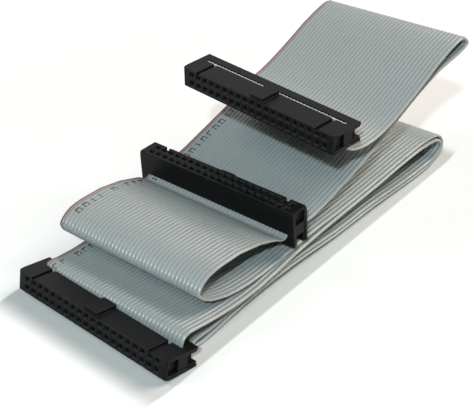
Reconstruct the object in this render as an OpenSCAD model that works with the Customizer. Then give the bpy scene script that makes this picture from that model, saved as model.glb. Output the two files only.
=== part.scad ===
// Flat grey ribbon cable with three crimped-on sockets, folded up and lying on a table.
// X runs along the first socket, Y along the ribbon's runs, Z is up from the table.

/* [Ribbon] */
// Columns of pin holes in a socket, each fed by two conductors
columns = 20; // [10:1:24]
// Spacing of the conductors across the ribbon
conductor_pitch = 1.27; // [1.1:0.01:1.4]
// Thickness of the ribbon
ribbon_t = 0.9; // [0.7:0.05:0.95]
// Diameter of the bare conductor inside its insulation
conductor_d = 0.32; // [0.26:0.01:0.4]

/* [Socket] */
// Thickness of a socket from its plain side to its key side
socket_t = 5.6; // [5.4:0.1:6.4]
// Distance from the last column of holes to the end of the socket
end_margin = 3.57; // [3.4:0.01:4.5]
// Height of the body, from the mating face down to the ribbon
body_h = 6.95; // [6.8:0.05:8]
// Height of the cover that clamps the ribbon from behind
cover_h = 2.6; // [2.2:0.1:3.6]
// Width of the polarising key
key_w = 4.6; // [3:0.1:6]
// Height of the key above the side of the body
key_h = 1; // [0.6:0.1:1.4]
// Width of the two grooves beside the end blocks
groove_w = 1.4; // [0.8:0.1:1.8]
// Depth of those grooves
groove_d = 0.9; // [0.3:0.05:1]
// Distance from the end of the socket to the middle of a groove
groove_in = 6; // [5.6:0.1:7]
// Thickness of the two long walls where they stand proud at the ends
wall_t = 0.7; // [0.6:0.05:1.2]
// Depth of the recessed end face between those walls
end_step = 0.25; // [0.1:0.05:0.4]
// Depth of the rounded corner at the mating face, along the socket
corner_x = 0.7; // [0.3:0.1:1]
// Height of the rounded corner, down from the mating face
corner_z = 2.1; // [1:0.1:3]

/* [Latch and fork] */
// Width of a latch arm across the socket
latch_w = 4.1; // [3:0.1:4.2]
// Thickness of a latch arm
latch_t = 0.9; // [0.6:0.1:1]
// Height of the open window above a latch arm
window_h = 3.4; // [2:0.1:3.8]
// Solid wall between the window and the mating face
window_top = 0.7; // [0.6:0.1:2]
// Width of the notch that forks the rear end of the cover
notch_w = 2.8; // [2:0.1:3.2]

/* [Contacts] */
// Width of the square hole that a pin enters
hole_w = 1; // [0.85:0.05:1.1]
// Width of the hole's lead-in at the mating face
lead_w = 1.85; // [1.3:0.05:2]
// Thickness of the contact strip
strip_t = 0.3; // [0.2:0.05:0.35]
// Gap between the two spring beams
beam_gap = 0.7; // [0.6:0.02:0.8]
// Width of a spring beam
beam_w = 0.3; // [0.2:0.02:0.34]
// Width of a tine that straddles a conductor
tine_w = 0.22; // [0.15:0.01:0.25]

/* [Folded runs] */
// Nose-up tilt of the first socket, in degrees
first_tilt = 8.5; // [0:0.5:12]
// Distance from the first socket's slot to the far folds
fold_reach = 120.9; // [105:0.1:140]
// Height of the last socket's slot above the middle one's
last_rise = 25.68; // [22:0.01:30]

/* [Hidden] */

row_pitch = 2*conductor_pitch;
ribbon_w = 2*columns*conductor_pitch;
socket_l = (columns - 1)*row_pitch + 2*end_margin;
socket_d = body_h + ribbon_t + cover_h;
ribbon_edge = 0.25;
skin = 0.04;
post_gap = 0.1;
chamber_gap = 0.1;
chamber_top = 1.2;
lead_depth = (lead_w - hole_w)/2;
beam_top = 1.4;
neck_rise = 2.05;
neck_h = 1;
fork_rise = 0.35;
tine_past = 0.7;
pocket_gap = 0.06;
notch_top = 0.45;
notch_depth = 1.9;

// Moves the middle of the cable's footprint over the origin
footprint_shift = [3.82, -(fold_reach + 9.98)/2, 0];

// The routes are drawn for a reach of 120.9 and a rise of 25.68, and stretch with them
function reach_y(y) = 7.73 + (y - 7.73)*fold_reach/120.9;
function rise_z(z) = 14.21 + (z - 14.21)*last_rise/25.68;

// A place is the middle of the ribbon in its slot, the socket's pitch, roll and yaw,
// and whether it lies down; the first rests on its rear edge
first_place = [[0, 7.32 + socket_t/2*sin(first_tilt),
    socket_t/2*cos(first_tilt) + (cover_h + ribbon_t/2)*sin(first_tilt)],
    [-first_tilt, 0, 0], true];
middle_place = [[-4.29, reach_y(53.2), 14.21], [1.9, -1.7, 1.9], false];
last_place = [[-0.48, reach_y(69.99), rise_z(39.89)], [1.5, 0.3, -1.7], true];
slot_bite = 0.2;
slot_reach = socket_t/2 - slot_bite;

function turn_x(v, a) = [v[0], v[1]*cos(a) - v[2]*sin(a), v[1]*sin(a) + v[2]*cos(a)];
function turn_y(v, a) = [v[0]*cos(a) + v[2]*sin(a), v[1], v[2]*cos(a) - v[0]*sin(a)];
function turn_z(v, a) = [v[0]*cos(a) - v[1]*sin(a), v[0]*sin(a) + v[1]*cos(a), v[2]];
// Direction in which the ribbon passes through a socket, towards its key
function through(place) = turn_z(turn_x(turn_y(place[2] ? [0, 0, 1] : [0, 1, 0],
    place[1][1]), place[1][0]), place[1][2]);
// Route point on the ribbon in a slot, this far towards the key
function slot_point(place, reach) =
    concat(place[0] + reach*through(place), [place[1][2], -place[1][1]]);

// Middle of the ribbon from the first socket to the middle one: x, y, z, yaw, rise to the right
long_drawn = [
    [0, 8.4, 6.6, 0, 0.8], [0, 9.5, 7.35, 0, 2.1], [0, 12, 7.4, 0, 2.8],
    [0, 17, 7.1, 0.2, 2.3], [-0.4, 25, 6.8, 1.5, 1.1], [-1.8, 37, 6.3, 3, 0.3],
    [-3.4, 52, 7.4, 3.2, 0.6], [-4.8, 70, 8.5, 3.2, 1], [-6.2, 92, 9.8, 3.2, 1],
    [-7.2, 108, 11.1, 3.2, 1], [-7.8, 119, 11.2, 3.2, 1], [-8.4, 125, 9.6, 3.5, 1],
    [-8.9, 127.3, 6.6, 4, 0.6], [-9.4, 125, 3.9, 4.4, 0.3], [-9.5, 119, 2.7, 4.5, 0.3],
    [-8.9, 108, 2.5, 4.5, 0.3], [-7.8, 92, 3.2, 4.5, 0.3], [-6.5, 73, 3, 4.5, 0.5],
    [-4.9, 52, 4.3, 4.5, 0.5], [-3.8, 38, 4.2, 4.5, 0.4], [-3, 27, 3.5, 4.4, 0.2],
    [-2.3, 18, 2.7, 4.3, 0], [-2.1, 13.4, 2.6, 4.2, 0], [-2.1, 12.4, 1.7, 4.2, 0],
    [-2.1, 13.4, 0.85, 4.2, 0], [-2.3, 18, 0.8, 4.3, 0], [-3, 27, 1.9, 4.4, 0.2],
    [-3.8, 38, 2.8, 4.5, 0.4], [-4.9, 52, 2.9, 4.5, 0.5], [-6.5, 73, 1.7, 4.5, 0.5],
    [-7.8, 92, 1.9, 4.5, 0.3], [-9, 108, 1.2, 4.5, 0.3], [-9.7, 120, 1.3, 4.5, 0.3],
    [-10, 126, 2.8, 4.4, 0.3], [-9.7, 128.6, 6.2, 4.2, 0.5], [-9.1, 126.4, 10, 3.7, 1],
    [-8.3, 120, 12.4, 3.3, 1], [-7.7, 110, 12.4, 3.2, 1], [-6.8, 94, 11.1, 3.2, 1],
    [-5.9, 77, 9.8, 3.2, 1], [-4.9, 60, 9.2, 3.2, 1], [-3.7, 40, 7.7, 3.2, 0.7],
    [-3, 30, 8.2, 3, 0.9], [-2.8, 22.5, 9.8, 2.2, 1.3], [-3, 18.6, 11.6, 1.5, 1.8],
    [-3.4, 17.2, 13.6, 1.3, 1.9], [-3.8, 19.6, 16.1, 1.3, 1.9], [-4, 25.5, 17.6, 1.4, 1.9],
    [-4.1, 32.5, 17.8, 1.6, 1.9], [-4.2, 40, 16.7, 1.9, 1.8], [-4.2, 46, 14.9, 1.9, 1.7]];
long_route = concat([slot_point(first_place, slot_reach)],
    [for (p = long_drawn) [p[0], reach_y(p[1]), p[2], p[3], p[4]]],
    [slot_point(middle_place, -slot_reach)]);

// The same from the middle socket to the last one
short_drawn = [
    [-4.5, 61, 14.8, 1.9, 1.5], [-4.7, 71, 17.8, 1.7, 1.2],
    [-4.8, 80, 21, 1.5, 1.2], [-5, 89, 24.4, 1, 1.5], [-4.8, 98, 28.7, 0.5, 2.7],
    [-4.2, 107, 33.2, 0, 4.4], [-3.3, 116, 37.4, -1, 5.2], [-2.4, 123.4, 39.9, -2, 5.2],
    [-1.9, 126.9, 42.3, -2, 5], [-1.6, 124.6, 44.8, -2, 5], [-1.5, 118, 43.8, -2, 5],
    [-1.2, 107, 39, -2, 4.6], [-1, 97, 34.4, -2, 4], [-0.8, 88, 31.4, -2, 3],
    [-0.7, 80, 31, -2, 1.5], [-0.7, 74.2, 32.5, -1.8, 0.5], [-0.6, 71.2, 34.7, -1.7, 0],
    [-0.5, 70.3, 36.4, -1.7, -0.3]];
short_route = concat([slot_point(middle_place, slot_reach)],
    [for (p = short_drawn) [p[0], reach_y(p[1]), rise_z(p[2]), p[3], p[4]]],
    [slot_point(last_place, -slot_reach)]);

function at(p) = [p[0], p[1], p[2]];
function chord(p, i) = norm(at(p[i + 1] - p[i]));
function slope(p, i) = (p[i + 1] - p[i])/chord(p, i);
// Direction of the smooth curve at route point i
function heading(p, i) =
    i == 0 ? slope(p, 0) :
    i == len(p) - 1 ? slope(p, i - 1) :
    (slope(p, i - 1)*chord(p, i) + slope(p, i)*chord(p, i - 1))/(chord(p, i - 1) + chord(p, i));
// The curve half way between route points i and i + 1, and its direction there
function middle(p, i) = (p[i] + p[i + 1])/2 + (heading(p, i) - heading(p, i + 1))*chord(p, i)/8;
function middle_heading(p, i) = 1.5*slope(p, i) - (heading(p, i) + heading(p, i + 1))/4;
function across(q) = [cos(q[3])*cos(q[4]), sin(q[3])*cos(q[4]), sin(q[4])];
function unit(v) = v/norm(v);

// Ribbon cross-section: half width u and half thickness v with eased edges
function section(w, t) = [
    [w/2, -t/2 + ribbon_edge], [w/2, t/2 - ribbon_edge],
    [w/2 - ribbon_edge, t/2], [ribbon_edge - w/2, t/2],
    [-w/2, t/2 - ribbon_edge], [-w/2, -t/2 + ribbon_edge],
    [ribbon_edge - w/2, -t/2], [w/2 - ribbon_edge, -t/2]];
function ring(q, d, s) =
    let (side = across(q), up = unit(cross(side, at(d))))
    [for (k = s) at(q) + side*k[0] + up*k[1]];
function rings(p, s) = [for (i = [0 : len(p) - 1])
    for (half = i < len(p) - 1 ? [0, 1] : [0])
    half == 0 ? ring(p[i], heading(p, i), s) : ring(middle(p, i), middle_heading(p, i), s)];

// One free stretch of ribbon swept along a route
module sweep(route) {
    s = section(ribbon_w, ribbon_t);
    r = rings(route, s);
    n = len(s);
    last = len(r) - 1;
    polyhedron(
        points = [for (a = r) each a],
        faces = concat(
            [[for (k = [n - 1 : -1 : 0]) k]],
            [for (i = [0 : last - 1]) for (k = [0 : n - 1]) let (m = (k + 1)%n)
                each [[i*n + k, i*n + m, i*n + n + k], [i*n + m, i*n + n + m, i*n + n + k]]],
            [[for (k = [0 : n - 1]) last*n + k]]),
        convexity = 10);
}

// Puts a socket's own frame (mating face up at z = 0, key towards +y) in its place
module seated(place) {
    translate(footprint_shift + place[0])
        rotate([0, 0, place[1][2]]) rotate([place[1][0], 0, 0]) rotate([0, place[1][1], 0])
        rotate([place[2] ? 90 : 0, 0, 0])
        translate([0, 0, body_h + ribbon_t/2])
        children();
}

function column_x(i) = (i - (columns - 1)/2)*row_pitch;
// Each row's tines are offset to its own set of conductors
module each_contact() {
    for (side = [1, -1]) for (i = [0 : columns - 1])
        translate([column_x(i), side*row_pitch/2, 0]) mirror([side < 0 ? 1 : 0, 0, 0])
            children();
}

// Stretch of ribbon crimped in a socket, cut through where the tines pass
module crimped() {
    difference() {
        translate([0, 0, -body_h - ribbon_t/2]) rotate([90, 0, 0])
            linear_extrude(socket_t, center = true)
            polygon(section(ribbon_w + 2*skin, ribbon_t));
        each_contact()
            for (side = [-1, 1])
            translate([conductor_pitch/2 + side*(conductor_d + tine_w)/2, 0,
                -body_h - ribbon_t/2])
            cube([tine_w, strip_t, 2*ribbon_t], center = true);
    }
}

module ribbon() {
    color("silver") {
        translate(footprint_shift) {
            sweep(long_route);
            sweep(short_route);
        }
        for (place = [first_place, middle_place, last_place]) seated(place) crimped();
    }
}

// Side view of the body: a long block with rounded corners at the mating face
module body_outline() {
    half = socket_l/2;
    arc = [for (a = [0 : 15 : 90])
        [half - corner_x*(1 - cos(a)), -corner_z*(1 - sin(a))]];
    polygon(concat(arc, [for (i = [len(arc) - 1 : -1 : 0]) [-arc[i][0], arc[i][1]]],
        [[-half, -body_h], [half, -body_h]]));
}

// Wedges that meet as one square funnel over every pin hole
module lead_ins() {
    big = lead_w/2;
    small = hole_w/2;
    intersection() {
        rotate([90, 0, 0]) linear_extrude(2*socket_t, center = true)
            for (i = [0 : columns - 1]) translate([column_x(i), 0])
            polygon([[-big, 0], [big, 0], [small, -lead_depth], [-small, -lead_depth]]);
        rotate([90, 0, 90]) linear_extrude(2*socket_l, center = true)
            for (y = [-1, 1]) translate([y*row_pitch/2, 0])
            polygon([[-big, 0], [big, 0], [small, -lead_depth], [-small, -lead_depth]]);
    }
}

module socket_body(shade) {
    chamber_x0 = -beam_gap/2 - beam_w - chamber_gap;
    chamber_x1 = conductor_pitch/2 + conductor_d/2 + tine_w + chamber_gap;
    chamber_y = strip_t + 4*chamber_gap;
    color(shade) difference() {
        union() {
            rotate([90, 0, 0]) linear_extrude(socket_t, center = true) body_outline();
            translate([-key_w/2, socket_t/2 - wall_t, -body_h])
                cube([key_w, wall_t + key_h, body_h - key_h/2]);
        }
        lead_ins();
        each_contact() {
            translate([-hole_w/2, -hole_w/2, -chamber_top]) cube([hole_w, hole_w, chamber_top]);
            translate([chamber_x0, -chamber_y/2, -body_h - 1])
                cube([chamber_x1 - chamber_x0, chamber_y, body_h + 1 - chamber_top]);
        }
        for (side = [-1, 1]) {
            translate([side*(socket_l/2 - groove_in) - groove_w/2, socket_t/2 - groove_d,
                -body_h - 1]) cube([groove_w, socket_t, body_h + 2]);
            mirror([side < 0 ? 1 : 0, 0, 0]) {
                translate([socket_l/2 - end_step, wall_t - socket_t/2, -body_h - 1])
                    cube([end_step + 1, socket_t - 2*wall_t, body_h + 2]);
                translate([socket_l/2 - end_step - latch_t, -latch_w/2, -body_h - 1])
                    cube([latch_t + 1, latch_w, body_h + 1 - window_top]);
            }
        }
    }
}

// Cover: rear bar, posts round the ribbon's edges, latch arms and forked ends
module socket_cover(shade) {
    rib_x = ribbon_w/2 + post_gap;
    latch_x = socket_l/2 - end_step - latch_t;
    color(shade) difference() {
        union() {
            translate([-socket_l/2, -socket_t/2, -socket_d])
                cube([socket_l, socket_t, cover_h]);
            for (side = [0, 1]) mirror([side, 0, 0]) {
                translate([rib_x, -socket_t/2, -body_h - ribbon_t - 0.5])
                    cube([socket_l/2 - rib_x, socket_t, ribbon_t + 0.5]);
                translate([latch_x + 0.02, 0.02 - latch_w/2, -body_h - ribbon_t])
                    cube([latch_t - 0.02, latch_w - 0.04, ribbon_t + body_h - window_top - window_h]);
            }
        }
        for (side = [0, 1]) mirror([side, 0, 0]) {
            translate([socket_l/2 - notch_depth, -notch_w/2, -socket_d - 1])
                cube([notch_depth + 1, notch_w, socket_d + 1 - body_h - notch_top]);
            translate([socket_l/2 - end_step, wall_t - socket_t/2, -socket_d - 1])
                cube([end_step + 1, socket_t - 2*wall_t, socket_d + 1]);
        }
        each_contact()
            translate([(conductor_pitch - conductor_d)/2 - tine_w - pocket_gap,
                -strip_t/2 - pocket_gap, -body_h - ribbon_t - tine_past - pocket_gap])
            cube([conductor_d + 2*(tine_w + pocket_gap), strip_t + 2*pocket_gap,
                tine_past + pocket_gap + 1]);
    }
}

// Stamped contact: two spring beams for the pin and a fork that straddles one conductor
module contact_outline() {
    out = beam_gap/2 + beam_w;
    neck = neck_rise - body_h;
    gap_top = fork_rise - body_h;
    fork_x = conductor_pitch/2;
    in_x = conductor_d/2;
    out_x = conductor_d/2 + tine_w;
    tip = -body_h - ribbon_t - tine_past;
    polygon([[-out, -beam_top], [-beam_gap/2, -beam_top], [-beam_gap/2, neck],
        [beam_gap/2, neck], [beam_gap/2, -beam_top], [out, -beam_top], [out, neck],
        [fork_x + out_x, neck], [fork_x + out_x, tip + tine_w],
        [fork_x + out_x - tine_w/2, tip], [fork_x + in_x, tip + tine_w],
        [fork_x + in_x, gap_top], [fork_x - in_x, gap_top],
        [fork_x - in_x, tip + tine_w], [fork_x - out_x + tine_w/2, tip],
        [fork_x - out_x, tip + tine_w], [fork_x - out_x, neck - neck_h],
        [-out, neck - neck_h]]);
}

module socket_contacts() {
    color("gold") each_contact()
        rotate([90, 0, 0]) linear_extrude(strip_t, center = true) contact_outline();
}

module first_body() { seated(first_place) socket_body("#2b2b2d"); }
module first_cover() { seated(first_place) socket_cover("#242426"); }
module first_contacts() { seated(first_place) socket_contacts(); }
module middle_body() { seated(middle_place) socket_body("#2b2b2d"); }
module middle_cover() { seated(middle_place) socket_cover("#242426"); }
module middle_contacts() { seated(middle_place) socket_contacts(); }
module last_body() { seated(last_place) socket_body("#2b2b2d"); }
module last_cover() { seated(last_place) socket_cover("#242426"); }
module last_contacts() { seated(last_place) socket_contacts(); }

ribbon();
first_body();
first_cover();
first_contacts();
middle_body();
middle_cover();
middle_contacts();
last_body();
last_cover();
last_contacts();
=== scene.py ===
import math
import bmesh
import bpy
import numpy as np
from mathutils import Matrix, Vector


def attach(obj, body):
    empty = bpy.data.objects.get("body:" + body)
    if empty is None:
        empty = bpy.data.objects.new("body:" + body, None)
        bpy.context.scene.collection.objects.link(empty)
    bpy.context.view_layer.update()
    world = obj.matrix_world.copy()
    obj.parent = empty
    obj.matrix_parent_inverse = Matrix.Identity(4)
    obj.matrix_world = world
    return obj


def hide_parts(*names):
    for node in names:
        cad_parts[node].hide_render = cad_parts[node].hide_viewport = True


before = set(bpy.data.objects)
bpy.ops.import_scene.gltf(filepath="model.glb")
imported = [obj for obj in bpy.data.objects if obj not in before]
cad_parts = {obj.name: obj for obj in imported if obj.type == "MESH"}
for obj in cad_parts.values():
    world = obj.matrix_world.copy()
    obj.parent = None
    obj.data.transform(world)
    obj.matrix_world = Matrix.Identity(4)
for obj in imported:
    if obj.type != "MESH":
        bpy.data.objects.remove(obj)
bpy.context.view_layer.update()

scene = bpy.context.scene
scene.view_settings.view_transform = "Standard"


# Camera: a long lens looks down over the right-hand end of the first socket, so the folded
# runs lead up and to the right of the picture.
def way_to(turn, height):
    """Direction from the cable to a point this far round it and this high above, in degrees."""
    round_by = math.radians(turn)
    up_by = math.radians(height)
    return Vector((math.sin(round_by)*math.cos(up_by), -math.cos(round_by)*math.cos(up_by),
        math.sin(up_by)))


aim_point = Vector((-0.01018, 0.00456, 0.0))
camera_turn = 42.8
camera_height = 32.9
camera_far = 0.368
camera_data = bpy.data.cameras.new("camera")
camera_data.sensor_width = 36.0
camera_data.lens = 95.77
camera_data.clip_start = 0.01
camera = bpy.data.objects.new("camera", camera_data)
scene.collection.objects.link(camera)
camera.location = aim_point + camera_far*way_to(camera_turn, camera_height)
camera.rotation_euler = (math.radians(90.0 - camera_height), 0.0, math.radians(camera_turn))
scene.camera = camera

# Ribbon: forty fine wires laid side by side in one soft grey vinyl jacket, with a red first
# wire, and pressed flat between the two halves of each socket that is crimped onto it.
wires = 40
wire_pitch = 0.00127
ribbon_thick = 0.0009
# The web of vinyl between two wires is thinner than the ribs round them
web_thick = 0.00036
points_per_wire = 6

# The route is drawn in millimetres from the first socket, and this shift brings the middle of
# the folded cable's footprint over the origin
footprint_shift = np.array([3.82, -65.44, 0.0])

# Middle of the ribbon in each slot, the way it runs through, its yaw and its rise in degrees
slots = {
    "first": ([0.0, 7.7339, 3.2201], [0.0, 0.147809, 0.989016], 0.0, 0.0),
    "middle": ([-4.29, 53.2, 14.21], [-0.033137, 0.998901, 0.033155], 1.9, 1.7),
    "last": ([-0.48, 69.99, 39.89], [0.004457, -0.02632, 0.999644], -1.7, -0.3),
}

# From the middle of a slot it is this far to where a free run starts, and to a chopped end
slot_reach = 2.6
slot_edge = 2.5

# Where it lies between the sockets: x, y, z, yaw, rise to the right
long_run = [
    [0, 8.4, 6.6, 0, 0.8], [0, 9.5, 7.35, 0, 2.1], [0, 12, 7.4, 0, 2.8],
    [0, 17, 7.1, 0.2, 2.3], [-0.4, 25, 6.8, 1.5, 1.1], [-1.8, 37, 6.3, 3, 0.3],
    [-3.4, 52, 7.4, 3.2, 0.6], [-4.8, 70, 8.5, 3.2, 1], [-6.2, 92, 9.8, 3.2, 1],
    [-7.2, 108, 11.1, 3.2, 1], [-7.8, 119, 11.2, 3.2, 1], [-8.4, 125, 9.6, 3.5, 1],
    [-8.9, 127.3, 6.6, 4, 0.6], [-9.4, 125, 3.9, 4.4, 0.3], [-9.5, 119, 2.7, 4.5, 0.3],
    [-8.9, 108, 2.5, 4.5, 0.3], [-7.8, 92, 3.2, 4.5, 0.3], [-6.5, 73, 3, 4.5, 0.5],
    [-4.9, 52, 4.3, 4.5, 0.5], [-3.8, 38, 4.2, 4.5, 0.4], [-3, 27, 3.5, 4.4, 0.2],
    [-2.3, 18, 2.7, 4.3, 0], [-2.1, 13.36, 2.63, 4.2, 0], [-2.1, 12.72, 2.37, 4.2, 0],
    [-2.1, 12.45, 1.73, 4.2, 0], [-2.1, 12.72, 1.09, 4.2, 0], [-2.1, 13.36, 0.83, 4.2, 0],
    [-2.3, 18, 0.8, 4.3, 0], [-3, 27, 1.9, 4.4, 0.2], [-3.8, 38, 2.8, 4.5, 0.4],
    [-4.9, 52, 2.9, 4.5, 0.5], [-6.5, 73, 1.7, 4.5, 0.5], [-7.8, 92, 1.9, 4.5, 0.3],
    [-9, 108, 1.2, 4.5, 0.3], [-9.7, 120, 1.3, 4.5, 0.3], [-10, 126, 2.8, 4.4, 0.3],
    [-9.7, 128.6, 6.2, 4.2, 0.5], [-9.1, 126.4, 10, 3.7, 1], [-8.3, 120, 12.4, 3.3, 1],
    [-7.7, 110, 12.4, 3.2, 1], [-6.8, 94, 11.1, 3.2, 1], [-5.9, 77, 9.8, 3.2, 1],
    [-4.9, 60, 9.2, 3.2, 1], [-3.7, 40, 7.7, 3.2, 0.7], [-3, 30, 8.2, 3, 0.9],
    [-2.8, 22.5, 9.8, 2.2, 1.3], [-3, 18.6, 11.6, 1.5, 1.8], [-3.4, 17.2, 13.6, 1.3, 1.9],
    [-3.8, 19.6, 16.1, 1.3, 1.9], [-4, 25.5, 17.6, 1.4, 1.9], [-4.1, 32.5, 17.8, 1.6, 1.9],
    [-4.2, 40, 16.7, 1.9, 1.8], [-4.2, 46, 14.9, 1.9, 1.7], [-4.2, 49.7, 13.5, 1.9, 1.7]]
short_run = [
    [-4.5, 61, 14.8, 1.9, 1.5], [-4.7, 71, 17.8, 1.7, 1.2],
    [-4.8, 80, 21, 1.5, 1.2], [-5, 89, 24.4, 1, 1.5], [-4.8, 98, 28.7, 0.5, 2.7],
    [-4.2, 107, 33.2, 0, 4.4], [-3.3, 116, 37.4, -1, 5.2], [-2.4, 123.4, 39.9, -2, 5.2],
    [-1.9, 126.9, 42.3, -2, 5], [-1.6, 124.6, 44.8, -2, 5], [-1.5, 118, 43.8, -2, 5],
    [-1.2, 107, 39, -2, 4.6], [-1, 97, 34.4, -2, 4], [-0.8, 88, 31.4, -2, 3],
    [-0.7, 80, 31, -2, 1.5], [-0.7, 74.2, 32.5, -1.8, 0.5], [-0.6, 71.2, 34.7, -1.7, 0],
    [-0.5, 70.3, 36.4, -1.7, -0.3]]


def in_slot(name, reach):
    """Route point on the ribbon inside a socket, this far towards its key."""
    middle, way, yaw, rise = slots[name]
    return list(np.array(middle) + reach*np.array(way)) + [yaw, rise]


def smooth(route, most_turn=12.5, longest=8.0):
    """Points on the smooth curve through a route, with at most so many degrees of turn and
    so many millimetres from one to the next."""
    points = np.array(route, dtype=float)
    chords = np.linalg.norm(np.diff(points[:, :3], axis=0), axis=1)
    slopes = np.diff(points, axis=0)/chords[:, None]
    headings = np.empty_like(points)
    headings[0] = slopes[0]
    headings[-1] = slopes[-1]
    before = chords[:-1, None]
    after = chords[1:, None]
    headings[1:-1] = (slopes[:-1]*after + slopes[1:]*before)/(before + after)
    out = []
    for i, chord in enumerate(chords):
        leaving = headings[i, :3]/np.linalg.norm(headings[i, :3])
        arriving = headings[i + 1, :3]/np.linalg.norm(headings[i + 1, :3])
        turn = math.degrees(math.acos(max(-1.0, min(1.0, float(leaving @ arriving)))))
        steps = max(1, math.ceil(turn/most_turn), math.ceil(chord/longest))
        for t in np.arange(steps)/steps:
            out.append((2*t**3 - 3*t**2 + 1)*points[i] + (t**3 - 2*t**2 + t)*chord*headings[i]
                + (3*t**2 - 2*t**3)*points[i + 1] + (t**3 - t**2)*chord*headings[i + 1])
    out.append(points[-1])
    return np.array(out)


ribbon_line = np.vstack([
    [in_slot("first", -slot_edge)],
    smooth([in_slot("first", slot_reach)] + long_run + [in_slot("middle", -slot_reach)]),
    smooth([in_slot("middle", slot_reach)] + short_run + [in_slot("last", -slot_reach)]),
    [in_slot("last", slot_edge)]])
ribbon_path = (ribbon_line[:, :3] + footprint_shift)*0.001
yaws = np.radians(ribbon_line[:, 3])
rises = np.radians(ribbon_line[:, 4])
ribbon_sides = np.stack([np.cos(yaws)*np.cos(rises), np.sin(yaws)*np.cos(rises),
    np.sin(rises)], axis=1)
ribbon_steps = np.linalg.norm(np.diff(ribbon_path, axis=0), axis=1)
ribbon_long = float(ribbon_steps.sum())


class Wire:
    """One output of a node, in a tree where arithmetic on it adds Math nodes."""

    def __init__(self, socket):
        self.socket = socket
        self.tree = socket.id_data

    def maths(self, operation, first, second=None):
        """A Math node on one value or two."""
        return node(self.tree, "ShaderNodeMath", {"operation": operation},
            {0: first} if second is None else {0: first, 1: second})

    def __add__(self, other):
        return self.maths("ADD", self, other)

    def __radd__(self, other):
        return self.maths("ADD", other, self)

    def __sub__(self, other):
        return self.maths("SUBTRACT", self, other)

    def __rsub__(self, other):
        return self.maths("SUBTRACT", other, self)

    def __mul__(self, other):
        return self.maths("MULTIPLY", self, other)

    def __rmul__(self, other):
        return self.maths("MULTIPLY", other, self)

    def __truediv__(self, other):
        return self.maths("DIVIDE", self, other)

    def __rtruediv__(self, other):
        return self.maths("DIVIDE", other, self)

    def __gt__(self, other):
        return self.maths("GREATER_THAN", self, other)

    def __lt__(self, other):
        return self.maths("LESS_THAN", self, other)

    def __abs__(self):
        return self.maths("ABSOLUTE", self)

    def at_least(self, least):
        return self.maths("MAXIMUM", self, least)

    def fraction(self):
        return self.maths("FRACT", self)

    def whole(self):
        return self.maths("FLOOR", self)

    def root(self):
        return self.maths("SQRT", self)

    def sine(self):
        return self.maths("SINE", self)

    def part(self, axis):
        """One of a vector's three numbers, named X, Y or Z."""
        return node(self.tree, "ShaderNodeSeparateXYZ", {}, {0: self}, axis)


def feed(made, inputs):
    """Sets a node's inputs: a Wire is linked, a list of them in turn, and a value is set."""
    for key, value in inputs.items():
        for each in value if isinstance(value, list) else [value]:
            if isinstance(each, Wire):
                each.tree.links.new(each.socket, made.inputs[key])
            else:
                made.inputs[key].default_value = each


def node(tree, kind, settings=None, inputs=None, out=0):
    """Adds a node, with its settings made first and then its inputs, and gives one output."""
    made = tree.nodes.new(kind)
    for key, value in (settings or {}).items():
        if key == "stops":
            ramp = made.color_ramp
            while len(ramp.elements) > 1:
                ramp.elements.remove(ramp.elements[-1])
            ramp.elements[0].position = value[0][0]
            ramp.elements[0].color = value[0][1]
            for place, colour in value[1:]:
                ramp.elements.new(place).color = colour
        else:
            setattr(made, key, value)
    feed(made, inputs or {})
    return Wire(made.outputs[out]) if made.outputs else None


def mixed(share, colour, other):
    """A colour with this share of another one mixed into it."""
    return node(share.tree, "ShaderNodeMix", {"data_type": "RGBA"},
        {0: share, 6: colour, 7: other}, 2)


def patches(tree, scale, detail):
    """Soft random patches that lie still on the piece, about this many to the metre."""
    place = node(tree, "ShaderNodeTexCoord", {}, {}, "Object")
    return node(tree, "ShaderNodeTexNoise", {},
        {"Vector": place, "Scale": scale, "Detail": detail})


def material_nodes(name):
    """A new material, its tree and its main shader."""
    made = bpy.data.materials.new(name)
    made.use_nodes = True
    return made, made.node_tree, made.node_tree.nodes["Principled BSDF"]


def tone(level):
    """Linear colour of an sRGB level or triple from 0 to 255."""
    triple = level if hasattr(level, "__len__") else (level, level, level)
    linear = [c/255/12.92 if c/255 <= 0.04045 else ((c/255 + 0.055)/1.055)**2.4
        for c in triple]
    return (*linear, 1.0)


# The vinyl knows its place: how many wires in from the dyed edge, how many metres from the
# first socket's end, and 1 on its plain face or 0 on its marked one
vinyl, tree, shader = material_nodes("grey_vinyl")
lay = node(tree, "ShaderNodeAttribute", {"attribute_name": "lay"}, {}, "Vector")
across = lay.part("X")
along = lay.part("Y")
plain_face = lay.part("Z")
mottle = patches(tree, 90.0, 3.0)
grain = patches(tree, 2600.0, 2.0)
# Dust and painted shade darken the grooves between the wires
groove = abs(across.fraction()*2.0 - 1.0)
groove_deep = groove*groove*groove
vinyl_colour = mixed(groove_deep*0.28 + mottle*0.14, tone((172, 176, 173)),
    tone((100, 112, 118)))
# A painted highlight makes the outer side of the last wire, along the far edge, paler
highlit_edge_width = 0.2
edge_highlight_share = 0.5
vinyl_colour = mixed((across > wires - highlit_edge_width)*edge_highlight_share, vinyl_colour,
    tone((200, 199, 186)))
# The first wire is dyed: dark red on its outer side, paler where it meets the next
dyed = node(tree, "ShaderNodeValToRGB",
    {"stops": [(0.0, (1, 1, 1, 1)), (0.42, (0.95, 0.95, 0.95, 1)), (0.62, (0.42, 0.42, 0.42, 1)),
        (1.0, (0.2, 0.2, 0.2, 1))]}, {0: across})
vinyl_colour = mixed(dyed*(across < 1.0), vinyl_colour, tone((132, 16, 40)))
# A line of plain strokes and boxes runs beside the dyed wire. Half lengths along the ribbon
# are in mark pitches, and half heights across it in wires.
mark_pitch = 0.00265
marks_middle = 2.6
mark_half_high = 0.85
box_half_long = 0.3
hollow_half_high = 0.6
hollow_half_long = 0.18
stroke_half_long = 0.07
ink_cover = 0.92
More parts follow.
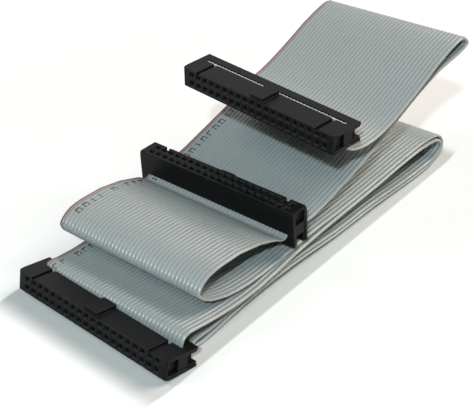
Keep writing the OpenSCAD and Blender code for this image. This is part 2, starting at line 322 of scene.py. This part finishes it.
# A number drawn for each mark leaves it out, or makes it a stroke, a closed box, a box with
# one side open, or a box with two sides open
bare_below = 0.14
stroke_below = 0.38
closed_below = 0.55
one_open_below = 0.78
mark_step = along/mark_pitch
draw = node(tree, "ShaderNodeTexWhiteNoise", {"noise_dimensions": "1D"},
    {"W": mark_step.whole()})
mark_u = mark_step.fraction() - 0.5
mark_v = across - marks_middle
off_u = abs(mark_u)
off_v = abs(mark_v)
boxed = (off_u < box_half_long)*(off_v < mark_half_high)
hollow = (off_u < hollow_half_long)*(off_v < hollow_half_high)
open_side = (draw > closed_below)*(off_u < hollow_half_long)*(mark_v > 0.0)
open_end = (draw > one_open_below)*(off_v < hollow_half_high)*(mark_u > 0.0)
kept = (1.0 - hollow)*(1.0 - open_side)*(1.0 - open_end)
stroke = (draw < stroke_below)*(off_u < stroke_half_long)*(off_v < mark_half_high)
ink = (boxed*kept*(draw > stroke_below) + stroke)*(draw > bare_below)*(plain_face < 0.5)
vinyl_colour = mixed(ink*ink_cover, vinyl_colour, tone(38))
# The two ends were chopped square, and fresh vinyl is paler than the handled faces
end_face = 0.00003
chopped = (along < end_face) + (along > ribbon_long - end_face)
vinyl_colour = mixed(chopped, vinyl_colour, tone((226, 230, 220)))
feed(shader, {
    "Base Color": vinyl_colour,
    "Roughness": mottle*0.08 + grain*0.05 + 0.2,
    "Normal": node(tree, "ShaderNodeBump", {},
        {"Strength": 0.12, "Distance": 0.00004, "Height": grain}),
    "Specular IOR Level": 0.36})


def shaping_tree(name, inputs):
    """A geometry tree with these named inputs, and the identifiers a modifier sets them by."""
    made = bpy.data.node_groups.new(name, "GeometryNodeTree")
    made.is_modifier = True
    made.interface.new_socket(name="Line", in_out="INPUT", socket_type="NodeSocketGeometry")
    identifiers = {title: made.interface.new_socket(name=title, in_out="INPUT",
        socket_type="NodeSocket" + kind).identifier for title, kind in inputs.items()}
    made.interface.new_socket(name="Piece", in_out="OUTPUT", socket_type="NodeSocketGeometry")
    return made, identifiers


def given(tree, name):
    """A named input of a geometry tree."""
    return node(tree, "NodeGroupInput", {}, {}, name)


def end_tree(tree, piece, finish):
    """Ends a geometry tree with real faces in one material."""
    piece = node(tree, "GeometryNodeRealizeInstances", {}, {"Geometry": piece})
    piece = node(tree, "GeometryNodeSetMaterial", {}, {"Geometry": piece, "Material": finish})
    node(tree, "NodeGroupOutput", {}, {0: piece})


def shaped(name, line, tree, identifiers, values):
    """The piece that a geometry tree makes on a line, with a plain mesh and no modifier."""
    made = bpy.data.objects.new(name, line)
    scene.collection.objects.link(made)
    maker = made.modifiers.new(tree.name, "NODES")
    maker.node_group = tree
    for title, value in values.items():
        maker[identifiers[title]] = value
    ready = made.evaluated_get(bpy.context.evaluated_depsgraph_get())
    mesh = bpy.data.meshes.new_from_object(ready)
    made.modifiers.remove(maker)
    made.data = mesh
    return made


# The tree sweeps the ribbed section along the line; each point of the line has its side. The
# section runs out along the plain face and back along the marked one.
sweep, sweep_inputs = shaping_tree("ribbed_sweep", {"Wires": "Int", "Wire pitch": "Float",
    "Thickness": "Float", "Web": "Float", "Points per wire": "Int", "Vinyl": "Material"})
count = given(sweep, "Wires")
pitch = given(sweep, "Wire pitch")
per_wire = given(sweep, "Points per wire")
face_points = count*per_wire + 1.0
index = node(sweep, "GeometryNodeInputIndex")
plain = index < face_points
step = (plain*index + (1.0 - plain)*(2.0*face_points - 1.0 - index))/per_wire
# Points crowd towards the shoulders of each rib, where the surface turns most. Both pulls
# are shares of the width of a rib.
to_shoulder = 0.0414
to_crown = 0.0318
turned = step.fraction()*math.tau
wire_at = step + ((turned*2.0).sine()*to_shoulder - turned.sine()*to_crown)
rib_x = (wire_at.fraction() - 0.5)*pitch
rib_r = given(sweep, "Thickness")*0.5
rib_y = (rib_r*rib_r - rib_x*rib_x).at_least(0.0).root()
section_x = (wire_at - count*0.5)*pitch
section_y = rib_y.at_least(given(sweep, "Web")*0.5)*(plain*2.0 - 1.0)
section = node(sweep, "GeometryNodeCurvePrimitiveCircle", {"mode": "RADIUS"},
    {"Resolution": 2.0*face_points})
section = node(sweep, "GeometryNodeSetPosition", {}, {"Geometry": section,
    "Position": node(sweep, "ShaderNodeCombineXYZ", {}, {0: section_x, 1: section_y})})
for name, value in (("across", wire_at), ("plain", plain)):
    section = node(sweep, "GeometryNodeStoreNamedAttribute",
        {"data_type": "FLOAT", "domain": "POINT"},
        {"Geometry": section, "Name": name, "Value": value})
line = node(sweep, "GeometryNodeMeshToCurve", {}, {0: given(sweep, "Line")})
side = node(sweep, "GeometryNodeInputNamedAttribute", {"data_type": "FLOAT_VECTOR"},
    {"Name": "side"})
line = node(sweep, "GeometryNodeSetCurveNormal", {"mode": "FREE"}, {"Curve": line, "Normal": side})
swept = node(sweep, "GeometryNodeCurveToMesh", {},
    {"Curve": line, "Profile Curve": section, "Fill Caps": True})
swept = node(sweep, "GeometryNodeFlipFaces", {}, {"Mesh": swept})
parts = [node(sweep, "GeometryNodeInputNamedAttribute", {"data_type": "FLOAT"}, {"Name": name})
    for name in ("across", "run", "plain")]
swept = node(sweep, "GeometryNodeStoreNamedAttribute",
    {"data_type": "FLOAT_VECTOR", "domain": "POINT"},
    {"Geometry": swept, "Name": "lay", "Value": node(sweep, "ShaderNodeCombineXYZ", {},
        {0: parts[0], 1: parts[1], 2: parts[2]})})
end_tree(sweep, swept, given(sweep, "Vinyl"))

line_mesh = bpy.data.meshes.new("ribbon_line")
line_mesh.from_pydata(ribbon_path.tolist(),
    [(i, i + 1) for i in range(len(ribbon_path) - 1)], [])
line_mesh.attributes.new("side", "FLOAT_VECTOR", "POINT").data.foreach_set(
    "vector", ribbon_sides.ravel())
line_mesh.attributes.new("run", "FLOAT", "POINT").data.foreach_set(
    "value", np.concatenate([[0.0], np.cumsum(ribbon_steps)]))
ribbon_band = shaped("ribbon_band", line_mesh, sweep, sweep_inputs, {
    "Wires": wires, "Wire pitch": wire_pitch, "Thickness": ribbon_thick, "Web": web_thick,
    "Points per wire": points_per_wire, "Vinyl": vinyl})
# A strip of narrow faces closes each cut end in place of the one face that the sweep gives
closing = bmesh.new()
closing.from_mesh(ribbon_band.data)
for cap in [face for face in closing.faces if len(face.verts) > 4]:
    rim = sorted(cap.verts, key=lambda corner: corner.index)
    outward = cap.normal.copy()
    closing.faces.remove(cap)
    for near in range(len(rim)//2 - 1):
        far = len(rim) - 1 - near
        strip = closing.faces.new((rim[near], rim[near + 1], rim[far - 1], rim[far]))
        strip.normal_update()
        if strip.normal.dot(outward) < 0.0:
            strip.normal_flip()
closing.to_mesh(ribbon_band.data)
closing.free()
ribbon_band.data.shade_smooth()
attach(ribbon_band, "root")
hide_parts("ribbon")

# Wire ends: the forty wires end where the ribbon was chopped flush with its first and its last
# socket. Each shows a bright dot of seven tinned copper strands in the middle of its rib.
strand_spacing = 0.00011
# Radius of a strand as a share of that spacing: a hair of air parts it from its neighbours
strand_share = 0.47
wire_proud = 0.00003
tinned, tree, shader = material_nodes("tinned_copper")
tarnish = patches(tree, 900.0, 3.0)
feed(shader, {
    "Base Color": mixed(tarnish, tone((222, 218, 206)), tone((186, 150, 112))),
    "Roughness": tarnish*0.2 + 0.25,
    "Metallic": 1.0})

# The tree sets a bundle of strands on each point of a row that spans the ribbon
row, row_inputs = shaping_tree("wire_end_row", {"Wires": "Int", "Wire pitch": "Float",
    "Strand": "Float", "Proud": "Float", "Middle": "Vector", "Turn": "Vector",
    "Metal": "Material"})
count = given(row, "Wires")
pitch = given(row, "Wire pitch")
strand = given(row, "Strand")
ring = node(row, "GeometryNodeMeshCircle", {"fill_type": "NONE"},
    {"Vertices": 6, "Radius": strand})
ring = node(row, "GeometryNodeMeshToPoints", {}, {"Mesh": ring})
centre = node(row, "GeometryNodePoints", {}, {"Count": 1})
bundle = node(row, "GeometryNodeJoinGeometry", {}, {0: [ring, centre]})
one_strand = node(row, "GeometryNodeMeshCylinder", {},
    {"Vertices": 8, "Radius": strand*strand_share, "Depth": given(row, "Proud")*2.0})
strands = node(row, "GeometryNodeInstanceOnPoints", {}, {"Points": bundle, "Instance": one_strand})
spots = node(row, "GeometryNodeMeshLine", {"mode": "OFFSET"},
    {"Count": count,
        "Start Location": node(row, "ShaderNodeCombineXYZ", {}, {0: (1.0 - count)*pitch*0.5}),
        "Offset": node(row, "ShaderNodeCombineXYZ", {}, {0: pitch})})
ends = node(row, "GeometryNodeInstanceOnPoints", {}, {"Points": spots, "Instance": strands})
ends = node(row, "GeometryNodeTransform", {},
    {"Geometry": ends, "Translation": given(row, "Middle"), "Rotation": given(row, "Turn")})
end_tree(row, ends, given(row, "Metal"))

for name, end, way in (("first", 0, -1.0), ("last", -1, 1.0)):
    across_way = Vector(ribbon_sides[end])
    out_way = Vector(way*np.array(slots[name][1])).normalized()
    end_turn = Matrix((across_way, out_way.cross(across_way), out_way)).transposed().to_euler()
    wire_ends = shaped(name + "_wire_ends", bpy.data.meshes.new(name + "_row"), row, row_inputs, {
        "Wires": wires, "Wire pitch": wire_pitch, "Strand": strand_spacing, "Proud": wire_proud,
        "Middle": ribbon_path[end].tolist(), "Turn": list(end_turn), "Metal": tinned})
    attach(wire_ends, "root")

# Socket bodies: each is one moulding of black glass-filled plastic with forty pin holes in two
# rows, straight from the mould: satin, a little mottled by the fibres, with a painted highlight on
# its fine edges.
moulded, tree, shader = material_nodes("black_moulding")
clouds = patches(tree, 330.0, 4.0)
fibres = patches(tree, 1900.0, 3.0)
# An edge is where the eased surface leans away from the flat face; edges are painted a lighter
# grey as a highlight
eased = node(tree, "ShaderNodeBevel", {"samples": 6}, {"Radius": 0.00014})
flat = node(tree, "ShaderNodeNewGeometry", {}, {}, "Normal")
edge = 1.0 - node(tree, "ShaderNodeVectorMath", {"operation": "DOT_PRODUCT"},
    {0: eased, 1: flat}, "Value")
painted_edge_highlight = node(tree, "ShaderNodeValToRGB",
    {"stops": [(0.02, (0, 0, 0, 1)), (0.3, (1, 1, 1, 1))]}, {0: edge})
feed(shader, {
    "Base Color": mixed(painted_edge_highlight*(clouds*0.9 + 0.1), mixed(clouds, tone(7), tone(26)), tone(112)),
    "Roughness": clouds*0.2 + 0.32,
    "Normal": node(tree, "ShaderNodeBump", {},
        {"Strength": 0.45, "Distance": 0.00004, "Height": fibres + clouds*0.8, "Normal": eased}),
    "Specular IOR Level": 0.098})
for name in ("first_body", "middle_body", "last_body"):
    bpy.data.objects[name].material_slots[0].material = moulded

# Covers: each is a second black moulding, pressed over the ribbon until its two arms click
# into the windows at the ends of the body. It comes from a more polished mould.
pressed, tree, shader = material_nodes("black_cover")
clouds = patches(tree, 280.0, 4.0)
fine_lines = patches(tree, 2400.0, 2.0)
eased = node(tree, "ShaderNodeBevel", {"samples": 6}, {"Radius": 0.00012})
feed(shader, {
    "Base Color": mixed(clouds, tone(7), tone(23)),
    "Roughness": clouds*0.2 + 0.28,
    "Normal": node(tree, "ShaderNodeBump", {},
        {"Strength": 0.2, "Distance": 0.00003, "Height": fine_lines, "Normal": eased}),
    "Specular IOR Level": 0.095})
for name in ("first_cover", "middle_cover", "last_cover"):
    bpy.data.objects[name].material_slots[0].material = pressed

# Contacts: forty stamped springs of phosphor bronze in each socket. Their tips, which wipe the
# pins, are plated and show deep in the holes, and their forks bite through to the wires.
plated, tree, shader = material_nodes("plated_bronze")
stain = patches(tree, 700.0, 3.0)
feed(shader, {
    "Base Color": mixed(stain, tone((214, 184, 120)), tone((160, 122, 72))),
    "Roughness": stain*0.22 + 0.22,
    "Metallic": 1.0})
for name in ("first_contacts", "middle_contacts", "last_contacts"):
    bpy.data.objects[name].material_slots[0].material = plated


# Floor and light: a plain pale table, with a wide warm lamp behind the cable, a small cool one
# beside the camera and a soft one at the left, in a dim white room.
def seen(tree):
    """1 where the eye, a gloss or a clear part looks straight at a surface, and else 0."""
    rays = [node(tree, "ShaderNodeLightPath", {}, {}, "Is " + kind + " Ray")
        for kind in ("Camera", "Glossy", "Transmission")]
    return rays[0] + rays[1] + rays[2]


def rising(value, low, high, most):
    """Rises smoothly from 0 to this most while the value goes from low to high."""
    return node(value.tree, "ShaderNodeMapRange", {"interpolation_type": "SMOOTHSTEP"},
        {"Value": value, "From Min": low, "From Max": high, "To Min": 0.0, "To Max": most})


table_reach = 3.0
# The table top lies a hair below the cable, so that no two faces share a plane
table_top = -0.00002
floor_mesh = bpy.data.meshes.new("floor")
floor_mesh.from_pydata([(x*table_reach, y*table_reach, table_top)
    for x, y in ((-1, -1), (1, -1), (1, 1), (-1, 1))], [], [(0, 1, 2, 3)])
floor = bpy.data.objects.new("floor", floor_mesh)
scene.collection.objects.link(floor)
table, tree, shader = material_nodes("pale_table")
feed(shader, {
    "Base Color": (0.8, 0.795, 0.765, 1.0),
    "Roughness": 0.9,
    "Specular IOR Level": 0.1})
# Painted light: seen straight on, the table glows white a short way outside the cable, and more so
# further off.
# The patch that keeps the full shade leans and tapers with the folded runs.
patch_lean = 0.074
patch_taper = 0.023
patch_shift = 0.0007
patch_half_wide = 0.0263
patch_half_long = 0.0635
side_fade = 0.0018
front_fade = 0.0127
near_lift = 0.36
far_lift = 0.7
far_from = 0.07
far_to = 0.55
spot = node(tree, "ShaderNodeTexCoord", {}, {}, "Object")
spot_x = spot.part("X")
spot_y = spot.part("Y")
beside = abs(spot_x + patch_shift + patch_lean*spot_y) + patch_taper*spot_y - patch_half_wide
beside = beside.at_least(0.0)/side_fade
before = (abs(spot_y) - patch_half_long).at_least(0.0)/front_fade
near_painted_glow = rising((beside*beside + before*before).root(), 0.5, 1.0, near_lift)
far_painted_glow = rising((spot_x*spot_x + spot_y*spot_y).root(), far_from, far_to, far_lift)
glow = node(tree, "ShaderNodeEmission", {},
    {"Color": (1, 1, 1, 1), "Strength": seen(tree)*(near_painted_glow + far_painted_glow)})
glowing_table = node(tree, "ShaderNodeAddShader", {}, {0: Wire(shader.outputs[0]), 1: glow})
feed(tree.nodes["Material Output"], {"Surface": glowing_table})
floor_mesh.materials.append(table)


def lamp(name, turn, height, far, size, power, colour):
    """A round soft lamp aimed at the middle of the cable."""
    data = bpy.data.lights.new(name, "AREA")
    data.shape = "DISK"
    data.size = size
    data.energy = power
    data.color = colour
    made = bpy.data.objects.new(name, data)
    scene.collection.objects.link(made)
    made.location = Vector((0.0, 0.0, 0.02)) + far*way_to(turn, height)
    made.rotation_euler = way_to(turn, height).to_track_quat("Z", "Y").to_euler()


# Turn and height in degrees, distance and size in metres, power in watts
lamp("behind", 150, 45, 0.9, 0.5, 4.9, (1.0, 0.9, 0.81))
lamp("beside_camera", 35, 39, 1.0, 0.045, 5.5, (0.74, 0.92, 1.0))
lamp("left", 312, 45, 0.9, 0.4, 1.8, (1.0, 1.0, 0.98))
room = bpy.data.worlds.new("room")
room.use_nodes = True
scene.world = room
# White to look at, and dim as a source of light
feed(room.node_tree.nodes["Background"],
    {"Color": (1.0, 1.0, 1.0, 1.0), "Strength": seen(room.node_tree)*0.95 + 0.05})
